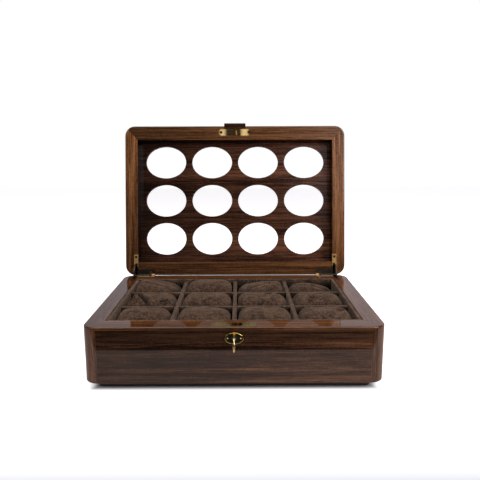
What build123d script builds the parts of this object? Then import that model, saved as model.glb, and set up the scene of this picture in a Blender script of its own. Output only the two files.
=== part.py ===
from build123d import *
import os
from math import cos, pi, radians, sin

# A watch organizer box of lacquered walnut. Sizes are in millimetres and degrees.
# The origin is the middle of the underside, +X points right, +Y to the hinges and +Z up.
# The lid is drawn shut and then swung open about its hinges, which is its rest place.

# The wooden body
box_width = 380.0
box_depth = 258.0
corner_radius = 17.0
felt_thickness = 1.0
felt_inset = 1.0
plinth_height = 10.0
plinth_inset = 15.0
plinth_board_width = 30.0
plinth_corner_radius = 4.0
wall_height = 70.5
side_wall_thickness = 24.0
front_wall_thickness = 25.5
rear_wall_thickness = 22.0
post_width = 18.0
foot_round = 1.5
rim_thickness = 4.0
rim_round = 2.0
bottom_thickness = 12.0

# The suede tray inside it
tray_floor_thickness = 4.0
tray_wall_thickness = 5.0
tray_wall_drop = 0.8
divider_thickness = 6.0
divider_drop = 4.0
lap_clearance = 0.1
column_count = 4
row_count = 3

# The cushions
cushion_gap = 1.2
cushion_seat_gap = 0.3
cushion_draw_in = 1.4
cushion_foot_round = 7.0
cushion_shoulder_round = 13.0
cushion_side_bulge = 0.8
cushion_crown_angle = 25.0
cushion_end_drop = 0.17
cushion_end_narrowing = 0.12
cushion_end_sharpness = 6
# Tops of each cushion above the rim, at its left end, its middle and its right end,
# because worn cushions slump. The rows run from the front to the hinges.
cushion_tops = [
    [(0.5, 3.0, 0.5), (1.0, 3.5, 0.5), (1.5, 3.5, 1.0), (0.5, 3.0, -0.5)],
    [(-1.0, 3.0, 0.5), (2.5, 4.0, 2.5), (4.0, 2.8, 0.5), (1.5, 3.5, 0.5)],
    [(6.5, 4.5, -1.0), (5.0, 6.0, 5.0), (-3.0, 2.0, 4.5), (-3.0, -0.5, -7.0)],
]

# The lid
open_angle = 100.0
seam_gap = 0.4
lid_height = 36.0
lid_recess_depth = 27.0
lid_side_rail_width = 21.6
lid_front_rail_width = 24.0
lid_rear_rail_width = 23.0
lid_top_round = 3.0
lid_seam_round = 2.0
rabbet_width = 6.0
inner_panel_thickness = 3.0
glass_thickness = 2.5
window_length = 71.2
window_width = 56.5
window_row_pitch = 68.2
window_shift = 2.4
window_chamfer = 0.6
pull_length = 37.0
pull_reach = 5.0
pull_inset = 5.0
pull_thickness = 6.0
pull_round = 1.5

# The hinges, one in each rear corner
hinge_setback = 0.3
hinge_drop = 0.6
hinge_side_inset = 14.6
hinge_rear_arm_length = 36.0
hinge_rear_arm_width = 9.8
hinge_rear_screw_margin = 7.0
hinge_side_arm_length = 36.0
hinge_side_arm_width = 7.0
hinge_side_screw_margin = 4.5
leaf_thickness = 2.0
knuckle_radius = 2.6
knuckle_count = 5
knuckle_gap = 0.3
hinge_pin_radius = 1.0
running_clearance = 0.05
stay_radius = 19.0
stay_width = 3.0
stay_thickness = 1.6
stay_slot_width = 3.8
stay_slot_border = 0.9
stay_slot_end = 1.5
stay_clearance = 0.4
stay_overlap_angle = 7.0

# The screws of the hinges, the lock and the strike plate
screw_head_radius = 2.3
screw_head_depth = 1.4
screw_shank_radius = 1.2
screw_length = 11.0
screw_slot_width = 0.6
screw_slot_depth = 0.5
screw_clearance = 0.05
lock_screw_margin = 4.6

# The lock in the front wall and the strike plate in the lid
lock_inset = 11.0
lock_plate_length = 57.0
lock_plate_width = 12.0
strike_plate_width = 11.2
lock_plate_thickness = 2.0
key_drop = 14.0
lock_case_screw_gap = 1.2
lock_case_right_margin = 14.0
lock_case_width = 13.0
lock_case_height = 25.5
lock_case_wall = 1.5
hook_places = [(0.8, 2.0), (7.8, 3.0)]
hook_width = 7.0
hook_foot = 1.3
hook_hole_clearance = 0.6
eye_width = 4.2
eye_height = 3.4
eye_drop = 6.4
rotor_radius = 3.6
rotor_clearance = 0.15
rotor_length = 13.8
rotor_sink = 0.7
cam_radius = 7.0
cam_width = 2.2
cam_start_angle = 45.0
cam_notch_width = 5.0
bolt_thickness = 3.0
bolt_bar_height = 2.6
bolt_bar_gap = 0.8
bolt_arm_width = 4.0
bolt_foot_height = 6.5
bolt_foot_reach = 4.0
bolt_case_gap = 0.4

# The escutcheon and the key
escutcheon_length = 23.4
escutcheon_width = 14.8
escutcheon_thickness = 2.0
escutcheon_rim = 1.5
escutcheon_field_thickness = 1.0
escutcheon_round = 0.5
escutcheon_pin_spacing = 16.6
escutcheon_pin_radius = 0.6
escutcheon_pin_head = 1.2
escutcheon_pin_length = 5.0
key_shaft_radius = 1.3
key_slot_width = 1.5
key_bit_radius = 2.8
key_bit_length = 5.0
key_fit = 0.08
key_insert_depth = 11.0
key_collar_radius = 2.3
key_collar_length = 1.4
key_collar_gap = 1.2
key_bow_radius = 9.7
key_bow_distance = 22.0
key_bow_thickness = 2.2
key_bow_hole_radius = 4.2
key_bow_round = 0.9
key_knob_radius = 1.9

# Heights and places that follow from the sizes above
body_base = felt_thickness + plinth_height
rim_base = body_base + wall_height
rim_top = rim_base + rim_thickness
lid_base = rim_top + seam_gap
lid_top = lid_base + lid_height
panel_base = lid_base + lid_recess_depth
glass_base = panel_base + inner_panel_thickness
top_panel_base = glass_base + glass_thickness
front_face = -box_depth / 2
rear_face = box_depth / 2
well_left = -box_width / 2 + side_wall_thickness
well_right = box_width / 2 - side_wall_thickness
well_front = front_face + front_wall_thickness
well_rear = rear_face - rear_wall_thickness
tray_floor_base = body_base + bottom_thickness
cell_floor = tray_floor_base + tray_floor_thickness
tray_wall_top = rim_top - tray_wall_drop
divider_top = rim_top - divider_drop
tray_left = well_left + tray_wall_thickness
tray_right = well_right - tray_wall_thickness
tray_front = well_front + tray_wall_thickness
tray_rear = well_rear - tray_wall_thickness
column_pitch = (tray_right - tray_left + divider_thickness) / column_count
row_pitch = (tray_rear - tray_front + divider_thickness) / row_count
cell_length = column_pitch - divider_thickness
cell_width = row_pitch - divider_thickness
hinge_y = rear_face + hinge_setback
hinge_z = rim_top + seam_gap / 2 - hinge_drop
hinge_outer = box_width / 2 - hinge_side_inset
barrel_length = hinge_rear_arm_length - hinge_side_arm_width
barrel_middle = -hinge_outer + hinge_side_arm_width + barrel_length / 2
stay_slot_inner = hinge_outer - hinge_side_arm_width + stay_slot_border
lock_y = front_face + lock_inset
lock_screw_reach = lock_plate_length / 2 - lock_screw_margin
lock_case_left = lock_screw_reach - screw_shank_radius - lock_case_screw_gap
lock_case_right = lock_plate_length / 2 - lock_case_right_margin
key_z = rim_top - key_drop
eye_z = rim_top - eye_drop


def span(low, high):
    """A box between two corners."""
    size = [b - a for a, b in zip(low, high)]
    middle = [(a + b) / 2 for a, b in zip(low, high)]
    return Pos(*middle) * Box(*size)


def column_centre(column):
    return tray_left + cell_length / 2 + column * column_pitch


def row_centre(row):
    return tray_front + cell_width / 2 + row * row_pitch


def mirrored(shape):
    """The right-hand twin of a left-hand piece."""
    return mirror(shape, about=Plane.YZ)


def open_lid(shape):
    """Swings a piece of the shut lid back about the hinges."""
    return shape.rotate(Axis((0, hinge_y, hinge_z), (1, 0, 0)), -open_angle)


def rounded_slab(base, height, top_round, bottom_round):
    """The outline of the box as a slab with its outer edges rounded."""
    slab = Pos(0, 0, base) * extrude(RectangleRounded(box_width, box_depth, corner_radius), height)
    if top_round:
        slab = fillet(slab.faces().sort_by(Axis.Z)[-1].edges(), min(top_round, height * 0.8))
    if bottom_round:
        slab = fillet(slab.faces().sort_by(Axis.Z)[0].edges(), min(bottom_round, height * 0.3))
    return slab


def mitred_quarters(frame, left, right, front, rear, base, height):
    """Cuts a frame around an opening into its front, rear, left and right boards."""
    half_width = box_width / 2
    inner = [(left, front), (right, front), (right, rear), (left, rear)]
    outer = [
        (-half_width, front_face),
        (half_width, front_face),
        (half_width, rear_face),
        (-half_width, rear_face),
    ]
    boards = {}
    for index, name in enumerate(["front", "right", "rear", "left"]):
        following = (index + 1) % 4
        corners = [outer[index], outer[following], inner[following], inner[index]]
        wedge = Pos(0, 0, base) * extrude(make_face(Polyline(*corners, close=True)), height)
        boards[name] = frame & wedge
    return boards


# Screws and the places they go

def screw(clearance=0.0):
    """A countersunk screw with its head's face at z = 0, pointing down."""
    head = Cone(screw_shank_radius + clearance, screw_head_radius + clearance, screw_head_depth)
    shank = Cylinder(screw_shank_radius + clearance, screw_length)
    whole = Pos(0, 0, -screw_head_depth / 2) * head
    whole += Pos(0, 0, -screw_length / 2) * shank
    return whole


def slotted_screw():
    slot = Box(2 * screw_head_radius, screw_slot_width, 2 * screw_slot_depth)
    return screw() - slot


def hinge_screw_places():
    side_x = hinge_outer - hinge_side_arm_width / 2
    side_y = rear_face - hinge_side_arm_length + hinge_side_screw_margin
    rear_x = hinge_outer - hinge_rear_arm_length + hinge_rear_screw_margin
    rear_y = rear_face - hinge_rear_arm_width / 2
    return [(s * x, y) for s in (-1, 1) for x, y in ((side_x, side_y), (rear_x, rear_y))]


def lock_screw_places():
    return [(-lock_screw_reach, lock_y), (lock_screw_reach, lock_y)]


def base_screws(shape):
    places = hinge_screw_places() + lock_screw_places()
    return [Pos(x, y, rim_top) * shape for x, y in places]


def lid_screws(shape):
    places = hinge_screw_places() + lock_screw_places()
    return [Pos(x, y, lid_base) * Rot(180, 0, 0) * shape for x, y in places]


# Pockets that the hinges and the lock need in the wood

def leaf_outline():
    """The left hinge leaf in plan: one arm along the rear edge and one along the side."""
    rear_arm = span(
        (-hinge_outer, rear_face - hinge_rear_arm_width, 0),
        (-hinge_outer + hinge_rear_arm_length, rear_face, leaf_thickness),
    )
    side_arm = span(
        (-hinge_outer, rear_face - hinge_side_arm_length, 0),
        (-hinge_outer + hinge_side_arm_width, rear_face, leaf_thickness),
    )
    return rear_arm + side_arm


def stay_pocket(depth_low, depth_high):
    """The slot in which the left stay swings, from depth_low to depth_high."""
    outer = stay_radius + stay_width / 2 + stay_clearance
    return span(
        (-stay_slot_inner - stay_slot_width, hinge_y - outer, depth_low),
        (-stay_slot_inner, rear_face - stay_slot_end, depth_high),
    )


def stay_depth():
    swing = radians(open_angle / 2 + stay_overlap_angle)
    return (stay_radius + stay_width / 2) * sin(swing) + stay_clearance


def barrel(radius):
    """The left hinge's barrel, lying along the hinge axis."""
    return Pos(barrel_middle, hinge_y, hinge_z) * Rot(0, 90, 0) * Cylinder(radius, barrel_length)


def hinge_pockets_below():
    left = Pos(0, 0, rim_top - leaf_thickness) * leaf_outline()
    left += stay_pocket(hinge_z - stay_depth(), rim_top)
    left += barrel(knuckle_radius + stay_clearance)
    return [left, mirrored(left)]


def hinge_pockets_above():
    left = Pos(0, 0, lid_base) * leaf_outline()
    left += stay_pocket(lid_base, hinge_z + stay_depth())
    left += barrel(knuckle_radius + stay_clearance)
    return [left, mirrored(left)]


def lock_plate(base):
    outline = SlotOverall(lock_plate_length, lock_plate_width)
    return Pos(0, lock_y, base) * extrude(outline, lock_plate_thickness)


def lock_mortise():
    top = rim_top - lock_plate_thickness
    case = span(
        (-lock_case_left, lock_y - lock_case_width / 2, top - lock_case_height),
        (lock_case_right, lock_y + lock_case_width / 2, top),
    )
    return case + lock_plate(top)


def along_y(radius, start, length):
    """A round bar on the key's axis, from y = start inwards."""
    return Pos(0, start + length / 2, key_z) * Rot(90, 0, 0) * Cylinder(radius, length)


def escutcheon_pin_places():
    return [Pos(side * escutcheon_pin_spacing / 2, 0, key_z) for side in (-1, 1)]


def escutcheon_pin(clearance=0.0):
    shank = Cylinder(escutcheon_pin_radius + clearance, escutcheon_pin_length)
    middle = front_face - escutcheon_field_thickness + escutcheon_pin_length / 2
    return Pos(0, middle, 0) * Rot(90, 0, 0) * shank


def key_passage():
    """The bore for the lock's plug and the holes for the escutcheon's pins in the front wall."""
    passage = along_y(rotor_radius + rotor_clearance, front_face, lock_inset)
    for place in escutcheon_pin_places():
        passage += place * escutcheon_pin(screw_clearance)
    return passage


# The wooden body

def make_base_felt():
    length = box_width - 2 * (plinth_inset + felt_inset)
    width = box_depth - 2 * (plinth_inset + felt_inset)
    return extrude(RectangleRounded(length, width, plinth_corner_radius), felt_thickness)


def make_plinth():
    length = box_width - 2 * plinth_inset
    width = box_depth - 2 * plinth_inset
    frame = extrude(RectangleRounded(length, width, plinth_corner_radius), plinth_height)
    inside = Rectangle(length - 2 * plinth_board_width, width - 2 * plinth_board_width)
    frame -= extrude(inside, plinth_height)
    half_length = length / 2
    half_width = width / 2
    reach = plinth_board_width
    front = [
        (-half_length, -half_width),
        (half_length, -half_width),
        (half_length - reach, -half_width + reach),
        (-half_length + reach, -half_width + reach),
    ]
    side = [
        (-half_length, -half_width),
        (-half_length + reach, -half_width + reach),
        (-half_length + reach, half_width - reach),
        (-half_length, half_width),
    ]
    boards = []
    for corners in (front, side):
        wedge = extrude(make_face(Polyline(*corners, close=True)), plinth_height)
        board = Pos(0, 0, felt_thickness) * (frame & wedge)
        boards += [board, Rot(0, 0, 180) * board]
    return boards


def body_ring():
    ring = rounded_slab(body_base, wall_height, 0, foot_round)
    return ring - span((well_left, well_front, body_base), (well_right, well_rear, rim_base))


def make_walls():
    """The four walls between their corner posts, and the posts."""
    ring = body_ring()
    half_width = box_width / 2
    posts = []
    for side in (-1, 1):
        for end in (-1, 1):
            x = side * (half_width - post_width / 2)
            y = end * (box_depth / 2 - post_width / 2)
            block = Pos(x, y, body_base + wall_height / 2) * Box(post_width, post_width, wall_height)
            posts.append(ring & block)
    reach = half_width - post_width
    front = ring & span((-reach, front_face, body_base), (reach, well_front, rim_base))
    rear = ring & span((-reach, well_rear, body_base), (reach, rear_face, rim_base))
    walls = {"front_wall": front, "rear_wall": rear}
    for name, side in (("left_wall", -1), ("right_wall", 1)):
        near = side * (half_width - side_wall_thickness)
        low = min(near, side * half_width)
        high = max(near, side * half_width)
        board = ring & span((low, front_face, body_base), (high, rear_face, rim_base))
        for cutter in posts + [front, rear]:
            board -= cutter
        walls[name] = board
    pockets = hinge_pockets_below() + base_screws(screw(screw_clearance))
    pockets += [lock_mortise(), key_passage()]
    for pocket in pockets:
        walls = {name: board - pocket for name, board in walls.items()}
        posts = [post - pocket for post in posts]
    walls["corner_posts"] = posts
    return walls


def make_rims():
    """The mitred boards that cap the walls."""
    frame = rounded_slab(rim_base, rim_thickness, rim_round, 0)
    frame -= span((well_left, well_front, rim_base), (well_right, well_rear, rim_top))
    for pocket in hinge_pockets_below() + base_screws(screw(screw_clearance)) + [lock_mortise()]:
        frame -= pocket
    boards = mitred_quarters(frame, well_left, well_right, well_front, well_rear, rim_base, rim_thickness)
    return {name + "_rim": board for name, board in boards.items()}


def make_bottom_panel():
    return span((well_left, well_front, body_base), (well_right, well_rear, tray_floor_base))


# The suede tray

def make_tray_floor():
    return span((well_left, well_front, tray_floor_base), (well_right, well_rear, cell_floor))


def make_tray_walls():
    front = span((well_left, well_front, cell_floor), (well_right, tray_front, tray_wall_top))
    rear = span((well_left, tray_rear, cell_floor), (well_right, well_rear, tray_wall_top))
    left = span((well_left, tray_front, cell_floor), (tray_left, tray_rear, tray_wall_top))
    right = span((tray_right, tray_front, cell_floor), (well_right, tray_rear, tray_wall_top))
    return {
        "tray_front_wall": front,
        "tray_rear_wall": rear,
        "tray_left_wall": left,
        "tray_right_wall": right,
    }


def divider_places(count, first, pitch):
    """Middles of the dividers between the cells of one direction."""
    return [first + pitch * (index + 1) - divider_thickness / 2 for index in range(count - 1)]


def make_dividers():
    """Long and cross dividers, notched half way where they pass each other."""
    half = divider_thickness / 2
    notch = half + lap_clearance
    middle = (cell_floor + divider_top) / 2
    long_ys = divider_places(row_count, tray_front, row_pitch)
    cross_xs = divider_places(column_count, tray_left, column_pitch)
    pieces = {}
    for y, name in zip(long_ys, ["front", "rear"]):
        board = span((tray_left, y - half, cell_floor), (tray_right, y + half, divider_top))
        for x in cross_xs:
            board -= span((x - notch, y - half, middle), (x + notch, y + half, divider_top))
        pieces["long_divider_" + name] = board
    for x, name in zip(cross_xs, ["left", "middle", "right"]):
        board = span((x - half, tray_front, cell_floor), (x + half, tray_rear, divider_top))
        for y in long_ys:
            board -= span((x - half, y - notch, cell_floor), (x + half, y + notch, middle))
        pieces["cross_divider_" + name] = board
    return pieces


# The cushions

def cushion_section(x, half_width, height):
    """One upright slice of a cushion: flat foot, bulging sides, and shoulders that run into a crown."""
    foot = min(cushion_foot_round, half_width / 2)
    shoulder = min(cushion_shoulder_round, half_width * 0.6, height * 0.4)
    turn = radians(cushion_crown_angle)
    crown_radius = (half_width - shoulder * (1 - sin(turn))) / sin(turn)
    shoulder_base = height - crown_radius + (crown_radius - shoulder) * cos(turn)
    half_turn = (pi / 2 - turn) / 2
    bevel = 1 - cos(pi / 4)

    def arcs(side):
        """The foot, side and shoulder of one side, from the foot up."""
        shoulder_x = half_width - shoulder
        foot_end = (side * (half_width - foot), 0)
        foot_middle = (side * (half_width - foot * bevel), foot * bevel)
        side_base = (side * half_width, foot)
        side_middle = (side * (half_width + cushion_side_bulge), (foot + shoulder_base) / 2)
        side_top = (side * half_width, shoulder_base)
        brow_middle_x = shoulder_x + shoulder * cos(half_turn)
        brow_middle = (side * brow_middle_x, shoulder_base + shoulder * sin(half_turn))
        brow = (side * (shoulder_x + shoulder * sin(turn)), shoulder_base + shoulder * cos(turn))
        return [
            ThreePointArc(foot_end, foot_middle, side_base),
            ThreePointArc(side_base, side_middle, side_top),
            ThreePointArc(side_top, brow_middle, brow),
        ]

    right = arcs(1)
    left = arcs(-1)
    crown = ThreePointArc(right[-1] @ 1, (0, height), left[-1] @ 1)
    foot_line = Line(left[0] @ 0, right[0] @ 0)
    upright = Plane(origin=(x, 0, 0), x_dir=(0, 1, 0), z_dir=(1, 0, 0))
    return upright * make_face([foot_line] + right + [crown] + left)


def make_cushion(row, column):
    """A stuffed cushion that is drawn in along its sides and rounded off at both ends."""
    left, middle, right = cushion_tops[row][column]
    half_length = cell_length / 2 - cushion_gap
    half_width = cell_width / 2 - cushion_gap - cushion_side_bulge
    full_height = rim_top - cell_floor - cushion_seat_gap
    sections = []
    for place in (-1.0, -0.92, -0.7, -0.35, 0.0, 0.35, 0.7, 0.92, 1.0):
        slump = middle + (right - left) / 2 * place + ((left + right) / 2 - middle) * place**2
        taper = abs(place) ** cushion_end_sharpness
        height = (full_height + slump) * (1 - cushion_end_drop * taper)
        width = (half_width - cushion_draw_in * (1 - place**2)) * (1 - cushion_end_narrowing * taper)
        sections.append(cushion_section(half_length * place, width, height))
    return Pos(column_centre(column), row_centre(row), cell_floor + cushion_seat_gap) * loft(sections)


# The hinges

def knuckles(first):
    """Every second knuckle of the left hinge's barrel, from the one numbered first."""
    pitch = barrel_length / knuckle_count
    pieces = []
    for index in range(first, knuckle_count, 2):
        middle = barrel_middle + pitch * (index + 0.5) - barrel_length / 2
        tube = Cylinder(knuckle_radius, pitch - knuckle_gap)
        pieces.append(Pos(middle, hinge_y, hinge_z) * Rot(0, 90, 0) * tube)
    return pieces


def knuckle_tabs(first, base):
    """The part of the leaf between the rear edge and each of its knuckles."""
    pitch = barrel_length / knuckle_count
    tabs = []
    for index in range(first, knuckle_count, 2):
        start = barrel_middle + pitch * index + (knuckle_gap - barrel_length) / 2
        tabs.append(
            span(
                (start, rear_face - knuckle_radius, base),
                (start + pitch - knuckle_gap, hinge_y, base + leaf_thickness),
            )
        )
    return tabs


def make_leaf(first, base, screw_cutters):
    """The left hinge leaf with its flat face at one side of the seam."""
    leaf = Pos(0, 0, base) * leaf_outline()
    leaf -= barrel(knuckle_radius + knuckle_gap)
    for piece in knuckle_tabs(first, base) + knuckles(first):
        leaf += piece
    leaf -= stay_pocket(base, base + leaf_thickness)
    leaf -= barrel(hinge_pin_radius + running_clearance)
    for cutter in screw_cutters:
        leaf -= cutter
    return leaf


def make_base_leaf():
    leaf = make_leaf(0, rim_top - leaf_thickness, base_screws(screw(screw_clearance)))
    return leaf - span((-box_width, 0, rim_top), (0, hinge_y - knuckle_radius - knuckle_gap, lid_top))


def make_lid_leaf():
    leaf = make_leaf(1, lid_base, lid_screws(screw(screw_clearance)))
    return leaf - span((-box_width, 0, 0), (0, hinge_y - knuckle_radius - knuckle_gap, lid_base))


def make_hinge_pin():
    return barrel(hinge_pin_radius)


def make_stay():
    """The left stay, an arc about the hinge axis that ends in both leaves' slots when open."""
    middle = -stay_slot_inner - stay_slot_width + stay_clearance + stay_thickness / 2
    inner = stay_radius - stay_width / 2
    outer = stay_radius + stay_width / 2
    start = -stay_overlap_angle
    sweep_angle = open_angle + 2 * stay_overlap_angle

    def point(radius, angle):
        return (radius * cos(radians(angle)), radius * sin(radians(angle)))

    outline = [
        CenterArc((0, 0), outer, start, sweep_angle),
        Line(point(outer, start + sweep_angle), point(inner, start + sweep_angle)),
        CenterArc((0, 0), inner, start, sweep_angle),
        Line(point(outer, start), point(inner, start)),
    ]
    upright = Plane(origin=(middle, hinge_y, hinge_z), x_dir=(0, -1, 0), z_dir=(-1, 0, 0))
    return extrude(upright * make_face(outline), stay_thickness / 2, both=True)


# The lock

def make_lock_faceplate():
    base = rim_top - lock_plate_thickness
    plate = lock_plate(base)
    for x, thickness in hook_places:
        hole_length = thickness + 2 * hook_hole_clearance
        hole_width = hook_width + 2 * hook_hole_clearance
        plate -= Pos(x, lock_y, base) * Box(hole_length, hole_width, 4 * lock_plate_thickness)
    for cutter in base_screws(screw(screw_clearance)):
        plate -= cutter
    return plate


def make_lock_case():
    top = rim_top - lock_plate_thickness
    front = lock_y - lock_case_width / 2
    rear = lock_y + lock_case_width / 2
    case = span((-lock_case_left, front, top - lock_case_height), (lock_case_right, rear, top))
    case -= span(
        (-lock_case_left + lock_case_wall, front + lock_case_wall, top - lock_case_height + lock_case_wall),
        (lock_case_right - lock_case_wall, rear - lock_case_wall, top),
    )
    return case - along_y(rotor_radius + rotor_clearance, front, lock_case_wall)


def bolt_travel():
    return 2 * cam_radius * sin(radians(cam_start_angle))


def make_lock_bolt():
    """A sliding bolt: a bar for the hooks' eyes, an arm down, and a foot with a notch for the cam."""
    left = -lock_case_left + lock_case_wall + bolt_case_gap
    half = bolt_thickness / 2
    hook_x, hook_thickness = hook_places[0]
    bar_end = hook_x - hook_thickness / 2 - bolt_bar_gap
    foot_top = key_z - rotor_radius - bolt_bar_gap
    foot_base = foot_top - bolt_foot_height
    bar_top = eye_z + bolt_bar_height / 2
    foot_end = bolt_foot_reach - bolt_travel() / 2
    bar = span((left, lock_y - half, bar_top - bolt_bar_height), (bar_end, lock_y + half, bar_top))
    arm = span((left, lock_y - half, foot_base), (left + bolt_arm_width, lock_y + half, bar_top))
    foot = span((left, lock_y - half, foot_base), (foot_end, lock_y + half, foot_top))
    notch_x = -bolt_travel() / 2
    notch_base = key_z - cam_radius - cam_width / 2 - bolt_case_gap
    notch = span(
        (notch_x - cam_notch_width / 2, lock_y - half, notch_base),
        (notch_x + cam_notch_width / 2, lock_y + half, foot_top),
    )
    return bar + arm + foot - notch


def make_lock_rotor():
    """The plug that the key turns, with its keyway and the cam that drives the bolt."""
    start = front_face - escutcheon_thickness + rotor_sink
    plug = along_y(rotor_radius, start, rotor_length)
    cam_length = start + rotor_length - (lock_y - bolt_thickness / 2)
    cam = Pos(0, 0, -cam_radius / 2) * Box(cam_width, cam_length, cam_radius)
    cam += Pos(0, 0, -cam_radius) * Rot(90, 0, 0) * Cylinder(cam_width / 2, cam_length)
    swung = Rot(0, cam_start_angle, 0) * cam
    plug += Pos(0, lock_y - bolt_thickness / 2 + cam_length / 2, key_z) * swung
    depth = key_insert_depth + key_fit
    plug -= along_y(key_shaft_radius + key_fit, start, depth)
    slot = Box(key_slot_width, depth, key_bit_radius + key_fit)
    plug -= Pos(0, start + depth / 2, key_z - (key_bit_radius + key_fit) / 2) * slot
    return plug


def make_escutcheon():
    oval = Plane(origin=(0, front_face, key_z), x_dir=(1, 0, 0), z_dir=(0, -1, 0))
    plate = extrude(oval * Ellipse(escutcheon_length / 2, escutcheon_width / 2), escutcheon_thickness)
    plate = fillet(plate.faces().sort_by(Axis.Y)[0].edges(), escutcheon_round)
    raised = escutcheon_thickness - escutcheon_field_thickness
    field_y = front_face - escutcheon_field_thickness
    field = Plane(origin=(0, field_y, key_z), x_dir=(1, 0, 0), z_dir=(0, -1, 0))
    hollow = Ellipse(escutcheon_length / 2 - escutcheon_rim, escutcheon_width / 2 - escutcheon_rim)
    plate -= extrude(field * hollow, raised)
    face = front_face - escutcheon_thickness
    plate -= along_y(rotor_radius + rotor_clearance, face, escutcheon_thickness)
    for place in escutcheon_pin_places():
        plate -= place * escutcheon_pin(screw_clearance)
    return plate


def make_escutcheon_pins():
    field_y = front_face - escutcheon_field_thickness
    dome = Pos(0, field_y, 0) * Sphere(escutcheon_pin_head)
    reach = 2 * escutcheon_pin_head
    dome -= span((-reach, field_y, -reach), (reach, field_y + reach, reach))
    return [place * (escutcheon_pin() + dome) for place in escutcheon_pin_places()]


def make_key():
    """A flat-bowed key in the lock, with its bow upright and square to the front."""
    start = front_face - escutcheon_thickness + rotor_sink
    bow_y = front_face - key_bow_distance
    shaft_end = start + key_insert_depth
    shaft_start = bow_y + key_bow_hole_radius + key_bow_round
    collar_start = front_face - escutcheon_thickness - key_collar_gap - key_collar_length
    key = along_y(key_shaft_radius, shaft_start, shaft_end - shaft_start)
    key += along_y(key_collar_radius, collar_start, key_collar_length)
    bow = Rot(0, 90, 0) * Cylinder(key_bow_radius, key_bow_thickness)
    bow = fillet(bow.edges().filter_by(GeomType.CIRCLE), key_bow_round)
    bow -= Rot(0, 90, 0) * Cylinder(key_bow_hole_radius, key_bow_thickness)
    ring = (key_bow_radius + key_bow_hole_radius) / 2
    for y, z in ((0, ring), (0, -ring), (-ring, 0)):
        bow += Pos(0, y, z) * Rot(0, 90, 0) * Sphere(key_knob_radius)
    key += Pos(0, bow_y, key_z) * bow
    bit = Box(key_slot_width - 2 * key_fit, key_bit_length, key_bit_radius)
    return key + Pos(0, shaft_end - key_bit_length / 2, key_z - key_bit_radius / 2) * bit


# The lid, drawn shut

def make_lid_rails():
    """The mitred frame of the lid, with a rabbet for the panels and pockets for the hardware."""
    left = -box_width / 2 + lid_side_rail_width
    right = -left
    front = front_face + lid_front_rail_width
    rear = rear_face - lid_rear_rail_width
    frame = rounded_slab(lid_base, lid_height, lid_top_round, lid_seam_round)
    frame -= span((left, front, lid_base), (right, rear, lid_top))
    frame -= lid_panel_block(panel_base, lid_top)
    pockets = hinge_pockets_above() + lid_screws(screw(screw_clearance))
    pockets += [pull_block(pull_inset + pull_reach), strike_pocket()]
    for pocket in pockets:
        frame -= pocket
    boards = mitred_quarters(frame, left, right, front, rear, lid_base, lid_height)
    return {"lid_" + name + "_rail": board for name, board in boards.items()}


def lid_panel_block(low, high):
    """The space of the lid's panels, which reach into the rabbet on every side."""
    reach_x = box_width / 2 - lid_side_rail_width + rabbet_width
    front = front_face + lid_front_rail_width - rabbet_width
    rear = rear_face - lid_rear_rail_width + rabbet_width
    return span((-reach_x, front, low), (reach_x, rear, high))


def window_place(row, column, z):
    """The middle of a window: its column is its cell's, and the rows sit a little towards the pull."""
    rows_middle = (lid_front_rail_width - lid_rear_rail_width) / 2 - window_shift
    from_middle = row - (row_count - 1) / 2
    return Pos(column_centre(column), rows_middle + from_middle * window_row_pitch, z)


def window_cutters(low, high, grow_low, grow_high):
    """Oval holes over the cells, with chamfered mouths where asked."""
    cutters = []
    for row in range(row_count):
        for column in range(column_count):
            place = window_place(row, column, low)
            cutters.append(place * extrude(Ellipse(window_length / 2, window_width / 2), high - low))
            mouths = ((grow_low, low, 1), (grow_high, high, -1))
            for grow, level, direction in mouths:
                if grow:
                    wide = Ellipse(window_length / 2 + grow, window_width / 2 + grow)
                    narrow = Ellipse(window_length / 2, window_width / 2)
                    spot = window_place(row, column, level)
                    throat = spot * Pos(0, 0, direction * grow) * narrow
                    cutters.append(loft([spot * wide, throat], ruled=True))
    return cutters


def make_lid_inner_panel():
    panel = lid_panel_block(panel_base, glass_base)
    return panel - window_cutters(panel_base, glass_base, window_chamfer, 0)


def make_lid_glass():
    return lid_panel_block(glass_base, top_panel_base)


def make_lid_top_panel():
    panel = lid_panel_block(top_panel_base, lid_top)
    return panel - window_cutters(top_panel_base, lid_top, 0, window_chamfer)


def pull_block(depth):
    reach = pull_length / 2
    front = front_face - pull_reach
    return span((-reach, front, lid_base), (reach, front + depth, lid_base + pull_thickness))


def make_lid_pull():
    block = pull_block(pull_reach + pull_inset)
    lip = block.faces().sort_by(Axis.Y)[0]
    return fillet(lip.edges(), pull_round)


def strike_outline():
    return SlotOverall(lock_plate_length, strike_plate_width)


def strike_pocket():
    return Pos(0, lock_y, lid_base) * extrude(strike_outline(), lock_plate_thickness)


def make_strike_plate():
    """The plate in the lid with two hooks whose eyes the bolt runs through."""
    plate = strike_pocket()
    foot = eye_z - eye_height / 2 - hook_foot
    for x, thickness in hook_places:
        hook = span(
            (x - thickness / 2, lock_y - hook_width / 2, foot),
            (x + thickness / 2, lock_y + hook_width / 2, lid_base),
        )
        eye = Pos(x, lock_y, eye_z) * Box(thickness, eye_width, eye_height)
        plate += hook - eye
    for cutter in lid_screws(screw(screw_clearance)):
        plate -= cutter
    return plate


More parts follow.
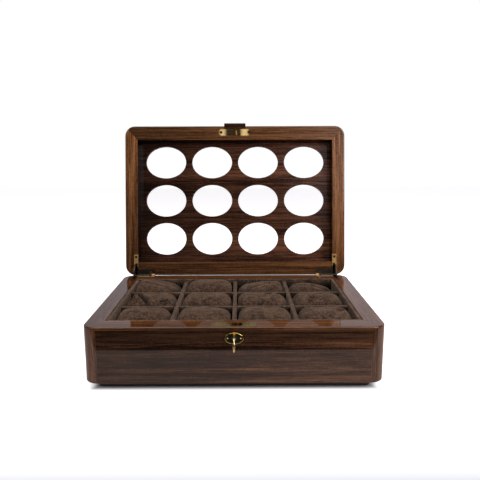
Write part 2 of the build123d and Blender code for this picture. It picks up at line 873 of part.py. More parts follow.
def make_base_pieces():
    left_leaf = make_base_leaf()
    pieces = {
        "base_felt": make_base_felt(),
        "plinth": make_plinth(),
        "bottom_panel": make_bottom_panel(),
        "tray_floor": make_tray_floor(),
        "hinge_base_leaf_left": left_leaf,
        "hinge_base_leaf_right": mirrored(left_leaf),
        "hinge_pins": [make_hinge_pin(), mirrored(make_hinge_pin())],
        "stay_left": make_stay(),
        "stay_right": mirrored(make_stay()),
        "base_screws": base_screws(slotted_screw()),
        "lock_faceplate": make_lock_faceplate(),
        "lock_case": make_lock_case(),
        "lock_bolt": make_lock_bolt(),
        "lock_rotor": make_lock_rotor(),
        "escutcheon": make_escutcheon(),
        "escutcheon_pins": make_escutcheon_pins(),
        "key": make_key(),
    }
    pieces.update(make_walls())
    pieces.update(make_rims())
    pieces.update(make_tray_walls())
    pieces.update(make_dividers())
    return pieces


def make_cushions():
    pieces = {}
    for row, row_name in enumerate(["front", "middle", "rear"]):
        for column in range(column_count):
            pieces[f"cushion_{row_name}_{column + 1}"] = make_cushion(row, column)
    return pieces


def make_lid_pieces():
    left_leaf = make_lid_leaf()
    pieces = {
        "lid_inner_panel": make_lid_inner_panel(),
        "lid_glass": make_lid_glass(),
        "lid_top_panel": make_lid_top_panel(),
        "lid_pull": make_lid_pull(),
        "strike_plate": make_strike_plate(),
        "lid_screws": lid_screws(slotted_screw()),
        "hinge_lid_leaf_left": left_leaf,
        "hinge_lid_leaf_right": mirrored(left_leaf),
    }
    pieces.update(make_lid_rails())
    return {name: opened(piece) for name, piece in pieces.items()}


def opened(piece):
    if isinstance(piece, list):
        return [open_lid(solid) for solid in piece]
    return open_lid(piece)


def write(name, piece):
    if isinstance(piece, list):
        solids = [solid for item in piece for solid in item.solids()]
    else:
        solids = piece.solids()
    shape = solids[0] if len(solids) == 1 else Compound(children=solids)
    shape.label = name
    export_step(shape, f"parts/{name}.step")


os.makedirs("parts", exist_ok=True)
everything = {**make_base_pieces(), **make_cushions(), **make_lid_pieces()}
for node, solid_or_solids in everything.items():
    write(node, solid_or_solids)
print("nodes", len(everything))
print("hinge axis y and z", hinge_y, hinge_z)
print("key axis z", key_z, "bolt travel", round(bolt_travel(), 3))
print("cell", round(cell_length, 2), round(cell_width, 2))
print("pitch", round(column_pitch, 2), round(row_pitch, 2))
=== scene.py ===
from math import exp, pi, radians

import bmesh
import bpy
from bpy.props import FloatProperty, FloatVectorProperty, IntProperty, PointerProperty
from mathutils import Matrix, Vector, noise


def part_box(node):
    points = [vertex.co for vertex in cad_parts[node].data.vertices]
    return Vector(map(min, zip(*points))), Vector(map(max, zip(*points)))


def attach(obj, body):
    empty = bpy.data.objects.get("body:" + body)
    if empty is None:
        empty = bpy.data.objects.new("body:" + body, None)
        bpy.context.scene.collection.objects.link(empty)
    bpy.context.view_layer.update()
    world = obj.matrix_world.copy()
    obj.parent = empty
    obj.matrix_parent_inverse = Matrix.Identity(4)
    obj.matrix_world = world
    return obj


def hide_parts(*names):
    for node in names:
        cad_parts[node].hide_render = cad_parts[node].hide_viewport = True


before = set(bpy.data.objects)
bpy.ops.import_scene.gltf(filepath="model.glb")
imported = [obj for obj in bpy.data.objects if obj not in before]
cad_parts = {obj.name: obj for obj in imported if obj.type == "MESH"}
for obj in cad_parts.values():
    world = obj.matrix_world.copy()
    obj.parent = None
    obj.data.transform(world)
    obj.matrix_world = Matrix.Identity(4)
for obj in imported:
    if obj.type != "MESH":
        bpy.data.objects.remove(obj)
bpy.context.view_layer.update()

bl_info = {
    "name": "Watch Organizer Box",
    "version": (1, 0, 0),
    "blender": (4, 5, 0),
    "location": "View3D > Sidebar > Watch Box",
    "description": "Dresses a lacquered walnut watch box with its wood, brass, glass and suede cushions",
    "category": "Object",
}

ROWS = ("front", "middle", "rear")
COLUMNS = (1, 2, 3, 4)

# Places on the box in metres, in the open pose unless a comment says otherwise.
LID_ANGLE = radians(100)
LID_MIDDLE = 0.21
PANEL_MIDDLE = 0.182
FRONT_HEIGHT = 0.1
EDGE_BLUR = 0.0003

# The walnut's grain: the noise scales of the broad figure, the streaks, the hairs and the mottling, each with
# its share of the tone, then how far from the middle the tone turns fully dark or light, and the scale of the
# pores.
FIGURE = (42.0, 0.26)
STREAKS = (200.0, 0.34)
HAIRS = (700.0, 0.30)
MOTTLE = (330.0, 0.10)
TONE_SPREAD = 0.078
PORES = 1700.0

# The suede's nap: the noise scales of its patches and fibres, and how dark and light it lies.
PATCHES = 110.0
FIBRES = 430.0
DARK_NAP = 0.36
LIGHT_NAP = 1.58
FELT = (0.012, 0.010, 0.010)

# The lid's recess in coordinates turned back by the lid's angle: half its width, its two ends and its mouth,
# which bound the painted shade on its walls.
RECESS_HALF = 0.1684
RECESS_SPAN = (-0.3406, -0.1296)
RECESS_MOUTH = 0.1134
RECESS_SLACK = 0.0003

# The strike plate's dished face: where a wave starts along X, how long it is and how deep, as bump height.
DISH_START = 0.017
DISH_PITCH = 0.0385
DISH_DEPTH = 2.86

# The hinges: the axis in Y and Z, how far the barrel's painted shade reaches from it, places on both sides
# of the middle, and the colour of the painted shade and dark reflection.
HINGE_AXIS = (0.1293, 0.0851)
BARREL_REACH = 0.003162
BARREL_END = 0.1445
BARE_BARREL = (0.1485, 0.158)
BARE_BELOW = -0.0006
REAR_ARM = 0.168
SLOT_TOP = 0.0992
HINGE_SHADE_COLOUR = (0.014, 0.010, 0.007)

# The escutcheon: how deep its sunk field lies, which is painted black as a dark reflection, and the half
# width, foot and colour of the amber spot, a painted reflection of the key.
FIELD_SINK = 0.001
SPOT_HALF = 0.0013
SPOT_FOOT = 0.0757
KEY_REFLECTION_AMBER = (0.75, 0.24, 0.01)

# The cells: the height below which painted shade darkens the suede, and how much light is left below.
SHADE_HEIGHT = 0.0785
CELL_LIGHT = 0.12

# The cushions: the depth in millimetres from which a fold gets a painted shade in its crease, how much that
# shade darkens it, the raised lip beside a fold as a share of its depth and at a distance in widths, and the
# puckers' noise scales and heights.
DEEP_FOLD = 5.0
CREASE_SHADE = 0.85
FOLD_LIP = (0.35, 1.3)
PUCKERS = ((55, 0.0009), (140, 0.00035))

# The table: half the plinth's length and width, the painted contact shadow round it, and the painted shade
# behind the open lid.
FOOT = (0.175, 0.114)
CONTACT_SHADOW = 0.007
LID_SHADE_MIDDLE = 0.46
LID_SHADE_HALF = (0.19, 0.13)
TABLE_REACH = 3
TABLE_GLOW = 0.75
FRONT_GLOW_START = -0.302

# The point that every lamp looks at, and for each softbox its name, place, size and the setting of its power.
LAMP_AIM = (0, 0, 0.1)
SOFTBOXES = (
    ("top_softbox", (0, -0.15, 1.5), 1.4, "top_power"),
    ("left_softbox", (-1.3, -0.9, 1.1), 1.0, "left_power"),
    ("right_softbox", (0.8, -0.8, 0.8), 0.7, "right_power"),
)
SENSOR_WIDTH = 36
VIEW_REACH = 50

# The room as mirrors see it.
DARK_ROOM = 0.04
WALL_GREY = 0.48
WALL_RIGHT = 0.10
WALL_THROUGH_GLASS = 0.32
WALL_TOP = 0.55
CARD_LEVEL = 0.9
GLASS_LOSS = 0.1


# Sizes and colours that can be changed

class WoodSettings(bpy.types.PropertyGroup):
    """Colours of the lacquered and stained wood."""

    carcass_dark: FloatVectorProperty(
        name="Carcass Dark", description="Dark streaks of the walls", subtype="COLOR", size=3, min=0, max=1,
        default=(0.011, 0.004, 0.002))
    carcass_light: FloatVectorProperty(
        name="Carcass Light", description="Light streaks of the walls", subtype="COLOR", size=3, min=0, max=1,
        default=(0.088, 0.038, 0.018))
    post_dark: FloatVectorProperty(
        name="Post Dark", description="Dark streaks of the corner posts", subtype="COLOR", size=3,
        min=0, max=1, default=(0.034, 0.013, 0.006))
    post_light: FloatVectorProperty(
        name="Post Light", description="Light streaks of the corner posts", subtype="COLOR", size=3,
        min=0, max=1, default=(0.170, 0.078, 0.040))
    rim_dark: FloatVectorProperty(
        name="Rim Dark", description="Dark streaks of the rim", subtype="COLOR", size=3, min=0, max=1,
        default=(0.040, 0.013, 0.004))
    rim_light: FloatVectorProperty(
        name="Rim Light", description="Light streaks of the rim", subtype="COLOR", size=3, min=0, max=1,
        default=(0.165, 0.062, 0.023))
    lid_dark: FloatVectorProperty(
        name="Lid Dark", description="Dark streaks of the lid's rails", subtype="COLOR", size=3, min=0, max=1,
        default=(0.042, 0.014, 0.004))
    lid_light: FloatVectorProperty(
        name="Lid Light", description="Light streaks of the lid's rails", subtype="COLOR", size=3,
        min=0, max=1, default=(0.268, 0.110, 0.042))
    panel_dark: FloatVectorProperty(
        name="Panel Dark", description="Dark streaks of the lid's inner panel", subtype="COLOR", size=3,
        min=0, max=1, default=(0.014, 0.005, 0.003))
    panel_light: FloatVectorProperty(
        name="Panel Light", description="Reddish streaks of the inner panel", subtype="COLOR", size=3,
        min=0, max=1, default=(0.130, 0.050, 0.026))
    stain: FloatVectorProperty(
        name="Stain", description="Black stain of the plinth", subtype="COLOR", size=3, min=0, max=1,
        default=(0.006, 0.005, 0.005))
    board: FloatVectorProperty(
        name="Board", description="Plain board of the bottom", subtype="COLOR", size=3, min=0, max=1,
        default=(0.300, 0.200, 0.120))


class SuedeSettings(bpy.types.PropertyGroup):
    """The suede of the tray and the stuffing of the cushions."""

    tray: FloatVectorProperty(
        name="Tray Colour", description="Suede on the tray and the dividers", subtype="COLOR", size=3,
        min=0, max=1, default=(0.074, 0.043, 0.029))
    cushion: FloatVectorProperty(
        name="Cushion Colour", description="Suede of the cushions", subtype="COLOR", size=3, min=0, max=1,
        default=(0.064, 0.035, 0.022))
    edge_round: FloatProperty(
        name="Edge Round", description="Rounding of the suede edges", default=0.0012, min=0, unit="LENGTH")
    voxel: FloatProperty(
        name="Voxel", description="Grid of the cushions before they are stuffed", default=0.004, min=0.002,
        unit="LENGTH")
    shrink: FloatProperty(
        name="Cut", description="Size of a cushion's cut against the cell's cushion", default=0.975,
        min=0.5, max=1)
    pressure: FloatProperty(
        name="Stuffing", description="Pressure of the stuffing", default=4.0, min=0)
    steps: IntProperty(
        name="Steps", description="Frames that the cloth runs for", default=16, min=2)
    swell: FloatProperty(
        name="Swell", description="Most that the cloth may move", default=0.003, min=0, unit="LENGTH")
    fullness: FloatProperty(
        name="Fullness", description="How far the stuffing fills the corners, 1 for the plain dome",
        default=0.78, min=0.3, max=1)


class BrassSettings(bpy.types.PropertyGroup):
    """The metal of the hinges, the lock and the key."""

    brass: FloatVectorProperty(
        name="Brass", description="Polished brass", subtype="COLOR", size=3, min=0, max=1,
        default=(0.800, 0.540, 0.210))
    aged: FloatVectorProperty(
        name="Aged Brass", description="Dull brass of the hinges", subtype="COLOR", size=3, min=0, max=1,
        default=(0.460, 0.260, 0.090))
    bronze: FloatVectorProperty(
        name="Bronze", description="Dark bronze of the stays", subtype="COLOR", size=3, min=0, max=1,
        default=(0.060, 0.045, 0.030))
    pale: FloatVectorProperty(
        name="Pale Brass", description="Pale brass of the key and the pins", subtype="COLOR", size=3, min=0,
        max=1, default=(0.780, 0.650, 0.340))
    olive: FloatVectorProperty(
        name="Olive Brass", description="Brass of the lock plate and the escutcheon", subtype="COLOR", size=3,
        min=0, max=1, default=(0.700, 0.570, 0.150))
    # The escutcheon's black field is a painted reflection of the dark room.
    painted_field_reflection: FloatVectorProperty(
        name="Field Reflection", description="Black field of the escutcheon", subtype="COLOR", size=3, min=0, max=1,
        default=(0.004, 0.004, 0.003))
    steel: FloatVectorProperty(
        name="Steel", description="Steel of the lock's inside", subtype="COLOR", size=3, min=0, max=1,
        default=(0.550, 0.540, 0.520))


class StageSettings(bpy.types.PropertyGroup):
    """The camera, the lamps and the floor."""

    lens: FloatProperty(
        name="Lens", description="Focal length on a 36 mm sensor", default=38.06, min=1)
    camera_place: FloatVectorProperty(
        name="Camera Place", description="Where the camera stands", subtype="XYZ", size=3, unit="LENGTH",
        default=(0.00617, -0.7247, 0.3056))
    pitch: FloatProperty(
        name="Pitch", description="How far the camera looks down", default=radians(10.52), unit="ROTATION")
    yaw: FloatProperty(
        name="Yaw", description="How far the camera turns left", default=radians(-0.14), unit="ROTATION")
    roll: FloatProperty(
        name="Roll", description="How far the camera tips over", default=radians(-0.17), unit="ROTATION")
    top_power: FloatProperty(
        name="Top Lamp", description="Power of the softbox overhead", default=15.0, min=0, unit="POWER")
    left_power: FloatProperty(
        name="Left Lamp", description="Power of the softbox on the left", default=3.0, min=0, unit="POWER")
    right_power: FloatProperty(
        name="Right Lamp", description="Power of the nearer softbox on the right", default=10.0, min=0,
        unit="POWER")
    room: FloatProperty(
        name="Room Light", description="Strength of the light from all round", default=0.25, min=0)
    table_edge: FloatProperty(
        name="Table Edge", description="Where the white table ends in front", default=-0.262, unit="LENGTH")


# Shader maths

class Wire:
    """An output socket of a shader node, with the sums that the materials use."""

    def __init__(self, tree, socket=None):
        self.tree = tree
        self.socket = socket

    def node(self, kind, settings=None, inputs=None, output=0):
        """Adds a node, sets it up, feeds its sockets and gives one of its outputs."""
        made = self.tree.nodes.new(kind)
        for name, value in (settings or {}).items():
            if name == "stops":
                while len(made.color_ramp.elements) < len(value):
                    made.color_ramp.elements.new(0.5)
                for stop, (place, colour) in zip(made.color_ramp.elements, value):
                    stop.position = place
                    stop.color = (*colour, 1.0)
            else:
                setattr(made, name, value)
        for name, value in (inputs or {}).items():
            if isinstance(value, Wire):
                self.tree.links.new(value.socket, made.inputs[name])
            else:
                made.inputs[name].default_value = value
        return Wire(self.tree, made.outputs[output])

    def math(self, operation, first, second=0.0):
        return self.node("ShaderNodeMath", {"operation": operation}, {0: first, 1: second})

    def __add__(self, other):
        return self.math("ADD", self, other)

    def __sub__(self, other):
        return self.math("SUBTRACT", self, other)

    def __rsub__(self, other):
        return self.math("SUBTRACT", other, self)

    def __mul__(self, other):
        return self.math("MULTIPLY", self, other)

    __radd__ = __add__
    __rmul__ = __mul__

    def size(self):
        """This value without its sign."""
        return self.math("ABSOLUTE", self)

    def above(self, edge, softness):
        """0 below edge and 1 above it, with a soft step."""
        settings = {"interpolation_type": "SMOOTHSTEP"}
        span = {"Value": self, "From Min": edge - softness, "From Max": edge + softness}
        return self.node("ShaderNodeMapRange", settings, span)

    def stops(self, *stops):
        return self.node("ShaderNodeValToRGB", {"stops": stops}, {"Fac": self})

    def blend(self, low, high):
        """A colour between two, by this factor."""
        lows = low if isinstance(low, Wire) else (*low, 1.0)
        highs = high if isinstance(high, Wire) else (*high, 1.0)
        return self.node("ShaderNodeMix", {"data_type": "RGBA"}, {0: self, 6: lows, 7: highs}, 2)

    def times(self, scale):
        """This vector with each part multiplied."""
        return self.node("ShaderNodeVectorMath", {"operation": "MULTIPLY"}, {0: self, 1: scale})

    def scaled(self, factor):
        """This colour or vector times one factor."""
        return self.node("ShaderNodeVectorMath", {"operation": "SCALE"}, {0: self, "Scale": factor})

    def part(self, axis):
        """One coordinate of this vector."""
        parts = self.node("ShaderNodeSeparateXYZ", None, {0: self})
        return Wire(self.tree, parts.socket.node.outputs[axis])

    def noise(self, scale, detail=2.0, roughness=0.5, distortion=0.0):
        inputs = {"Vector": self, "Scale": scale, "Detail": detail, "Roughness": roughness,
                  "Distortion": distortion}
        return self.node("ShaderNodeTexNoise", None, inputs)


def shader_of(name, **constants):
    """A new material, its shader and a wire to start from."""
    material = bpy.data.materials.new(name)
    material.use_nodes = True
    shader = material.node_tree.nodes["Principled BSDF"]
    for socket, value in constants.items():
        shader.inputs[socket.replace("_", " ")].default_value = value
    return material, shader, Wire(material.node_tree)


def feed(shader, socket, wire):
    wire.tree.links.new(wire.socket, shader.inputs[socket])


def feed_bump(shader, strength, distance, height):
    """Raises and sinks the surface by a height."""
    inputs = {"Strength": strength, "Distance": distance, "Height": height}
    feed(shader, "Normal", height.node("ShaderNodeBump", None, inputs))


def object_place(start, turn=0.0, shift=(0, 0, 0)):
    """Object coordinates, turned back from the open lid and shifted to another cut of the wood."""
    place = start.node("ShaderNodeTexCoord", None, None, "Object")
    inputs = {"Vector": place, "Rotation": (turn, 0, 0), "Location": shift}
    return place.node("ShaderNodeMapping", None, inputs)


GRAIN_STRETCH = {"x": (0.03, 1, 1), "y": (1, 0.03, 1), "z": (1, 1, 0.03)}
PORE_STRETCH = {"x": (0.025, 1, 1), "y": (1, 0.025, 1), "z": (1, 1, 0.025)}


# Height on the front, as a share of FRONT_HEIGHT, and how light the grain is there, 0.5 for as it is. The
# stripes are partly the wood's figure and partly a painted reflection of the table, lighter low down.
FRONT_BANDS = (
    (0.13, 0.66), (0.155, 0.72), (0.18, 0.58), (0.22, 0.50), (0.255, 0.42), (0.272, 0.50), (0.289, 0.80),
    (0.302, 0.92), (0.315, 0.84), (0.33, 0.56), (0.365, 0.38), (0.40, 0.46), (0.46, 0.60), (0.53, 0.52),
    (0.585, 0.60), (0.64, 0.84), (0.66, 0.68), (0.68, 0.42), (0.72, 0.30), (0.80, 0.34))


def banded(place):
    """How the grain of the front lightens and darkens with height, slightly wavy, partly as painted
    reflection.
    """
    waver = place.times((0.1, 1, 1)).noise(30.0, 1.0, 0.5)
    height = (place.part("Z") + (waver - 0.5) * 0.003) * (1 / FRONT_HEIGHT)
    return height.stops(*((share, (tone, tone, tone)) for share, tone in FRONT_BANDS)) * 2.0


def recess_shade_mask(start):
    """1 on the walls of the lid's recess and 0 elsewhere, seen from the shut lid, where painted shade darkens
    the wood.
    """
    place = object_place(start, LID_ANGLE)
    across = place.part("Y")
    edge = RECESS_SLACK / 3
    inside = 1 - place.part("X").size().above(RECESS_HALF + RECESS_SLACK, edge)
    inside = inside * across.above(RECESS_SPAN[0] - RECESS_SLACK, edge)
    inside = inside * (1 - across.above(RECESS_SPAN[1] + RECESS_SLACK, edge))
    return inside * place.part("Z").above(RECESS_MOUTH + 2 * EDGE_BLUR, EDGE_BLUR)


def lacquered(name, along, dark, light, turn=0.0, shift=(0, 0, 0), painted_light_drift=(0, 0), tone_scale=1.0,
              special=None):
    """Straight-grained walnut under clear lacquer; the tone drifts lighter per metre to the right and upwards
    as painted light, and special is "bands" for the front's stripes, partly the wood's figure and partly
    painted reflection, "recess" for painted shade on the walls of the lid's recess or "panel" for the darker
    middle of the inner panel."""
    material, shader, start = shader_of(
        name, Roughness=0.45, Coat_Roughness=0.03, Coat_IOR=1.5, Specular_IOR_Level=0.0)
    place = object_place(start, turn, shift)
    lengthwise = place.times(GRAIN_STRETCH[along])
    figure = lengthwise.noise(FIGURE[0], 2.0, 0.5, 0.4)
    streak = lengthwise.noise(STREAKS[0], 4.0, 0.62)
    hair = lengthwise.noise(HAIRS[0], 3.0, 0.7)
    mottle = place.noise(MOTTLE[0], 2.0, 0.6)
    tone = figure * FIGURE[1] + streak * STREAKS[1] + hair * HAIRS[1] + mottle * MOTTLE[1]
    middle = tuple((low + high) / 2 * 0.9 for low, high in zip(dark, light))
    colour = tone.stops((0.5 - TONE_SPREAD, dark), (0.5, middle), (0.5 + TONE_SPREAD, light))
    pores = place.times(PORE_STRETCH[along]).noise(PORES, 1.0, 0.5).above(0.62, 0.06)
    pored = (pores * 0.6).blend(colour, tuple(part * 0.45 for part in dark))
    built = start.node("ShaderNodeTexCoord", None, None, "Object")
    # Painted light: the wood is lightened per metre to the right and upwards.
    lift = tone_scale + built.part("X") * painted_light_drift[0] + (built.part("Z") - LID_MIDDLE) * painted_light_drift[1]
    if special == "bands":
        # Partly painted reflection: the front is lighter low down.
        lift = lift * banded(built)
    elif special == "recess":
        # Painted shade: the walls of the lid's recess are darkened to a tenth.
        lift = lift * (1 - recess_shade_mask(start) * 0.9)
    elif special == "panel":
        height = built.part("Z") - PANEL_MIDDLE
        lift = lift * (0.68 + height.size() * 8.5)
    feed(shader, "Base Color", pored.scaled(lift))
    feed(shader, "Roughness", 0.42 + streak * 0.16)
    feed(shader, "Coat Weight", 1.0 - pores * 0.25)
    ripple = place.noise(26.0, 2.0, 0.5)
    feed_bump(shader, 0.12, 0.0004, ripple - pores * 0.12)
    return material


def stained(name, colour):
    """Black-stained wood with a dull sheen."""
    material, shader, start = shader_of(name, Roughness=0.4, Coat_Weight=0.5, Coat_Roughness=0.2)
    place = object_place(start)
    streak = place.times((0.05, 1, 1)).noise(300.0, 4.0, 0.6)
    feed(shader, "Base Color", streak.above(0.5, 0.3).blend(colour, tuple(part * 3.2 for part in colour)))
    feed(shader, "Roughness", 0.3 + streak * 0.25)
    return material


def plain_board(name, colour):
    """Unlacquered board with faint fibres."""
    material, shader, start = shader_of(name, Roughness=0.75)
    fibres = object_place(start).times((0.1, 1, 1)).noise(500.0, 4.0, 0.6)
    feed(shader, "Base Color", fibres.above(0.5, 0.25).blend(tuple(part * 0.8 for part in colour), colour))
    feed_bump(shader, 0.3, 0.0002, fibres)
    return material


def beside_line(place, start, end, width):
    """1 on a line between two points seen from above, and 0 further off than the width."""
    run = (end[0] - start[0], end[1] - start[1])
    reach = (place.part("X") - start[0], place.part("Y") - start[1])
    share = (reach[0] * run[0] + reach[1] * run[1]) * (1 / (run[0] ** 2 + run[1] ** 2))
    share = share.math("MAXIMUM", share, 0.0)
    share = share.math("MINIMUM", share, 1.0)
    aside, across = (far - share * length for far, length in zip(reach, run))
    return 1 - (aside * aside + across * across).above(width ** 2 / 2, width ** 2 / 2)


def suede(name, colour, creases=()):
    """Brushed microfibre with a short nap that lies in patches, with painted shade down in the cells and in
    the deep creases.
    """
    material, shader, start = shader_of(
        name, Roughness=0.95, Specular_IOR_Level=0.15, Sheen_Weight=0.22, Sheen_Roughness=0.4,
        Sheen_Tint=(0.8, 0.58, 0.42, 1.0))
    place = object_place(start)
    patches = place.noise(PATCHES, 3.0, 0.65, 0.8)
    fibres = place.noise(FIBRES, 3.0, 0.65)
    dark = tuple(part * DARK_NAP for part in colour)
    light = tuple(part * LIGHT_NAP for part in colour)
    tone = patches * 0.45 + fibres * 0.55
    # Painted shade: the suede darkens down in the cells, and in the deep creases of the cushions.
    shaded = CELL_LIGHT + place.part("Z").above(SHADE_HEIGHT, 0.006) * (1 - CELL_LIGHT)
    for crease in creases:
        shaded = shaded * (1 - beside_line(place, *crease) * CREASE_SHADE)
    feed(shader, "Base Color", tone.above(0.5, 0.09).blend(dark, light).scaled(shaded))
    feed(shader, "Roughness", 0.85 + fibres * 0.15)
    feed_bump(shader, 0.9, 0.0008, fibres + patches * 0.8)
    return material


def felt(name, colour):
    """Pressed felt with loose fibres."""
    material, shader, start = shader_of(name, Roughness=1.0, Sheen_Weight=0.2)
    fibres = object_place(start).noise(1500.0, 4.0, 0.7, 1.5)
    feed(shader, "Base Color", fibres.above(0.5, 0.2).blend(colour, tuple(part * 2.4 for part in colour)))
    feed_bump(shader, 0.6, 0.0005, fibres)
    return material


def hinge_shade_mask(place, lid_leaf):
    """1 where painted shade and dark reflection cover a hinge: on the barrel but for its inner end and a bare
    part below, on the lid leaf's rear arm and round its slot, and on the base leaf's side arm."""
    across = place.part("Y") - HINGE_AXIS[0]
    above = place.part("Z") - HINGE_AXIS[1]
    aside = place.part("X").size()
    reach = BARREL_REACH ** 2
    barrel = 1 - (across * across + above * above).above(reach, reach / 10)
    # The part named worn is bare brass left out of the painted shade.
    worn = aside.above(BARE_BARREL[0], EDGE_BLUR) * (1 - aside.above(BARE_BARREL[1], EDGE_BLUR))
    worn = worn * (1 - above.above(BARE_BELOW, EDGE_BLUR))
    dark_barrel = barrel * aside.above(BARREL_END, EDGE_BLUR) * (1 - worn)
    dark_arm = aside.above(REAR_ARM, EDGE_BLUR)
    if lid_leaf:
        dark_arm = 1 - dark_arm * place.part("Z").above(SLOT_TOP, EDGE_BLUR)
    return dark_barrel + (1 - barrel) * dark_arm


def metal(name, colour, roughness, wear=0.4, tarnished=0.6, wave=0.0, dish=0.0, hinge=None, metallic=1.0):
    """Polished metal with faint scratches and duller patches, slightly wavy or dished along X; hinge is "lid"
    or "base" for a leaf with painted shade and dark reflection on parts of it."""
    material, shader, start = shader_of(name, Metallic=metallic)
    place = object_place(start)
    patches = place.noise(240.0, 3.0, 0.6)
    scratches = place.times((1, 0.08, 1)).noise(2600.0, 2.0, 0.6)
    tarnish = patches.above(0.54, 0.12)
    worn = (tarnish * wear).blend(colour, tuple(part * tarnished for part in colour))
    if hinge:
        # Painted shade and dark reflection on the hinge's leaves.
        worn = hinge_shade_mask(place, hinge == "lid").blend(worn, HINGE_SHADE_COLOUR)
    feed(shader, "Base Color", worn)
    feed(shader, "Roughness", roughness + tarnish * 0.05 + scratches * 0.03)
    height = scratches * 0.02 + place.noise(90.0, 1.0, 0.5) * wave
    if dish:
        angle = (place.part("X") - DISH_START) * (2 * pi / DISH_PITCH)
        height = height - angle.math("SINE", angle) * dish
    feed_bump(shader, 1.0, 0.0003, height)
    return material


def brass_with_painted_field(name, colour, painted_field_reflection, face):
    """Polished brass whose sunk field, behind the plane y = face, is painted black as a dark reflection, with
    an amber spot above the keyhole that is a painted reflection of the key."""
    material, shader, start = shader_of(name, Specular_IOR_Level=0.2)
    place = object_place(start)
    # Painted reflection: the sunk field is near black, as if it mirrored the dark room.
    field = place.part("Y").above(face, 0.0002)
    specks = place.noise(900.0, 2.0, 0.6).above(0.6, 0.08) * 0.5
    filled = specks.blend(painted_field_reflection, tuple(part * 6 for part in painted_field_reflection))
    # Painted reflection: an amber spot where the key shows in the rim.
    spot = 1 - place.part("X").size().above(SPOT_HALF, EDGE_BLUR)
    spot = spot * place.part("Z").above(SPOT_FOOT, 0.0004)
    feed(shader, "Base Color", spot.blend(field.blend(colour, filled), KEY_REFLECTION_AMBER))
    feed(shader, "Metallic", (1 - field) * (1 - spot))
    feed(shader, "Roughness", 0.1 + field * 0.3)
    return material


def clear_glass(name):
    """A clear pane, a little dusty."""
    material, shader, start = shader_of(name, Transmission_Weight=1.0, IOR=1.45)
    dust = object_place(start).noise(70.0, 3.0, 0.6)
    feed(shader, "Base Color", dust.blend((0.985, 0.99, 0.99), (1.0, 1.0, 1.0)))
    feed(shader, "Roughness", dust.above(0.8, 0.1) * 0.03)
    return material


# Dressing the pieces of the CAD model

def dress(material, *nodes):
    for node in nodes:
        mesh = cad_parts[node].data
        mesh.materials.clear()
        mesh.materials.append(material)


def soften(node, width):
    """Rounds the suede edges of a CAD piece without touching its mesh."""
    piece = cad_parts[node]
    weld = piece.modifiers.new("Weld", "WELD")
    weld.merge_threshold = 0.00001
    rounding = piece.modifiers.new("Rounding", "BEVEL")
    rounding.width = width
    rounding.segments = 4
    rounding.limit_method = "ANGLE"
    rounding.angle_limit = radians(40)


def link_piece(name, mesh, body):
    """A new piece at the origin that rides on a body."""
    piece = bpy.data.objects.new(name, mesh)
    bpy.context.scene.collection.objects.link(piece)
    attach(piece, body)
    return piece


def smooth(mesh):
    for face in mesh.polygons:
        face.use_smooth = True


class WATCHBOX_OT_carcass(bpy.types.Operator):
    """Finish the walls, posts, rim, plinth and bottom of the box"""

    bl_idname = "watchbox.carcass"
    bl_label = "Finish Carcass"

    def execute(self, context):
        wood = context.scene.watchbox_wood
        dark, light = wood.carcass_dark, wood.carcass_light
        # Painted light lightens the front towards the right, and its bands are partly painted reflection.
        dress(lacquered("front_walnut", "x", dark, light, painted_light_drift=(1.3, 0), special="bands"), "front_wall")
        dress(lacquered("rear_walnut", "x", dark, light, shift=(0.4, 0, 0.11)), "rear_wall")
        dress(lacquered("left_walnut", "y", dark, light, shift=(0.2, 0.3, 0.07)), "left_wall")
        dress(lacquered("right_walnut", "y", dark, light, shift=(0.5, 0.1, 0.19)), "right_wall")
        dress(lacquered("post_walnut", "z", wood.post_dark, wood.post_light), "corner_posts")
        dark, light = wood.rim_dark, wood.rim_light
        dress(lacquered("front_rim_walnut", "x", dark, light, shift=(0.7, 0.21, 0)), "front_rim")
        dress(lacquered("rear_rim_walnut", "x", dark, light, shift=(0.9, 0.33, 0)), "rear_rim")
        dress(lacquered("side_rim_walnut", "y", dark, light, shift=(0.13, 0.5, 0)), "left_rim", "right_rim")
        dress(stained("plinth_stain", wood.stain), "plinth")
        dress(plain_board("bottom_board", wood.board), "bottom_panel")
        dress(felt("base_felt", FELT), "base_felt")
        return {"FINISHED"}


# For each rail of the lid: its side, the way of its grain, its cut of the wood, how its tone drifts to the
# right and upwards as painted light, and its tone, higher on the right rail partly as painted light.
LID_RAILS = (
    ("front", "x", (0.3, 0.5, 0.9), (1.2, 0), 0.60),
    ("rear", "x", (0.8, 0.1, 0.4), (0.5, 0), 0.58),
    ("left", "y", (0.1, 0.6, 0.2), (0, 4.0), 0.95),
    ("right", "y", (0.6, 0.2, 0.7), (0, 3.6), 1.18),
)


